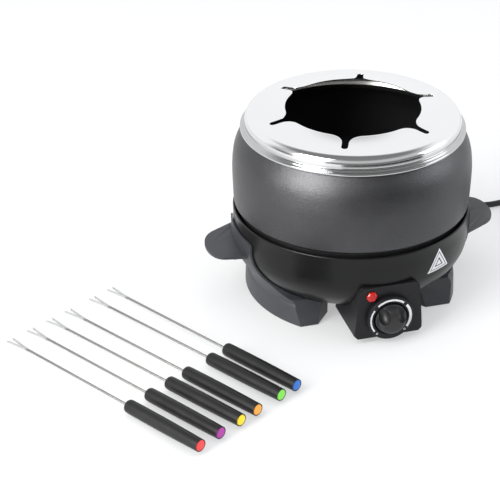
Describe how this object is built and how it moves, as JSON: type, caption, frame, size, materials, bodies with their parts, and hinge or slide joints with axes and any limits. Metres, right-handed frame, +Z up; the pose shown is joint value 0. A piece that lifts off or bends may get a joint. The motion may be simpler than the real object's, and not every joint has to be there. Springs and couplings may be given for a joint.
{
  "type": "electric fondue set",
  "caption": "Electric fondue set: heated base with two side handles and a control knob, lift-out pot, notched fork ring and colour-capped forks.",
  "frame": {"origin": "on the table, under the middle of the set's box without its free lead", "axes": "+Z up, -Y to the front with the control knob, +X to the right-hand handle as seen from the front"},
  "size_m": [0.6312, 0.3733, 0.1775],
  "materials": {
    "polished_steel": "polished stainless steel",
    "pot_coating": "dark grey coating with a fine sandy grain outside, smooth black non-stick inside",
    "base_paint": "smooth satin black enamel",
    "cast_aluminium": "plain cast or pressed aluminium",
    "plain_steel": "plain bright steel",
    "black_plastic": "matt black moulded plastic with a fine grain",
    "grip_plastic": "matt black moulded plastic",
    "grey_plastic": "plain grey plastic",
    "red_lens": "clear red plastic",
    "rubber": "black flexible plastic",
    "plug_plastic": "matt black moulded plastic",
    "pin_brass": "nickel-plated brass",
    "brown_wire": "brown insulation",
    "blue_wire": "blue insulation",
    "red_cap": "red plastic",
    "purple_cap": "purple plastic",
    "yellow_cap": "yellow plastic",
    "orange_cap": "orange plastic",
    "green_cap": "green plastic",
    "blue_cap": "blue plastic"
  },
  "bodies": {
    "base": {"base_bowl": "base_paint", "heating_plate": "cast_aluminium", "heating_element": "plain_steel", "heat_reflector": "cast_aluminium", "plate_post": "plain_steel", "base_cover": "base_paint", "centre_bolt": "plain_steel", "cover_screw_1": "plain_steel", "cover_screw_2": "plain_steel", "cover_screw_3": "plain_steel", "left_moulding": "black_plastic", "right_moulding": "black_plastic", "control_housing": "black_plastic", "dial_bezel": "black_plastic", "thermostat_body": "grey_plastic", "lamp_lens": "red_lens", "lamp_holder": "grey_plastic", "terminal_block": "grey_plastic", "live_wire": "brown_wire", "switched_wire": "brown_wire", "neutral_wire": "blue_wire", "cord_gland": "rubber", "power_cord": "rubber", "cord_coil": "rubber", "cord_tail": "rubber", "cord_tie": "rubber", "plug_body": "plug_plastic", "plug_pin_1": "pin_brass", "plug_pin_2": "pin_brass", "left_front_pad": "rubber", "left_front_screw": "plain_steel", "left_rear_pad": "rubber", "left_rear_screw": "plain_steel", "right_front_pad": "rubber", "right_front_screw": "plain_steel", "right_rear_pad": "rubber", "right_rear_screw": "plain_steel"},
    "knob": {"control_knob": "black_plastic", "thermostat_shaft": "plain_steel"},
    "pot": {"pot": "pot_coating"},
    "ring": {"fork_ring": "polished_steel"},
    "red_fork": {"red_fork_shank": "plain_steel", "red_fork_grip": "grip_plastic", "red_fork_cap": "red_cap"},
    "purple_fork": {"purple_fork_shank": "plain_steel", "purple_fork_grip": "grip_plastic", "purple_fork_cap": "purple_cap"},
    "yellow_fork": {"yellow_fork_shank": "plain_steel", "yellow_fork_grip": "grip_plastic", "yellow_fork_cap": "yellow_cap"},
    "orange_fork": {"orange_fork_shank": "plain_steel", "orange_fork_grip": "grip_plastic", "orange_fork_cap": "orange_cap"},
    "green_fork": {"green_fork_shank": "plain_steel", "green_fork_grip": "grip_plastic", "green_fork_cap": "green_cap"},
    "blue_fork": {"blue_fork_shank": "plain_steel", "blue_fork_grip": "grip_plastic", "blue_fork_cap": "blue_cap"}
  },
  "joints": [
    {"name": "knob_turn", "type": "hinge", "parent": "base", "child": "knob", "pos_m": [0.0932, -0.0553, 0.0255], "axis": [0, 1, 0], "range_deg": [0, 255]},
    {"name": "pot_lift", "type": "slide", "parent": "base", "child": "pot", "axis": [0, 0, 1], "range_m": [0, 0.12]},
    {"name": "ring_lift", "type": "slide", "parent": "pot", "child": "ring", "axis": [0, 0, 1], "range_m": [0, 0.08]},
    {"name": "red_fork_lift", "type": "slide", "parent": "base", "child": "red_fork", "axis": [0, 0, 1], "range_m": [0, 0.1]},
    {"name": "purple_fork_lift", "type": "slide", "parent": "base", "child": "purple_fork", "axis": [0, 0, 1], "range_m": [0, 0.1]},
    {"name": "yellow_fork_lift", "type": "slide", "parent": "base", "child": "yellow_fork", "axis": [0, 0, 1], "range_m": [0, 0.1]},
    {"name": "orange_fork_lift", "type": "slide", "parent": "base", "child": "orange_fork", "axis": [0, 0, 1], "range_m": [0, 0.1]},
    {"name": "green_fork_lift", "type": "slide", "parent": "base", "child": "green_fork", "axis": [0, 0, 1], "range_m": [0, 0.1]},
    {"name": "blue_fork_lift", "type": "slide", "parent": "base", "child": "blue_fork", "axis": [0, 0, 1], "range_m": [0, 0.1]}
  ]
}
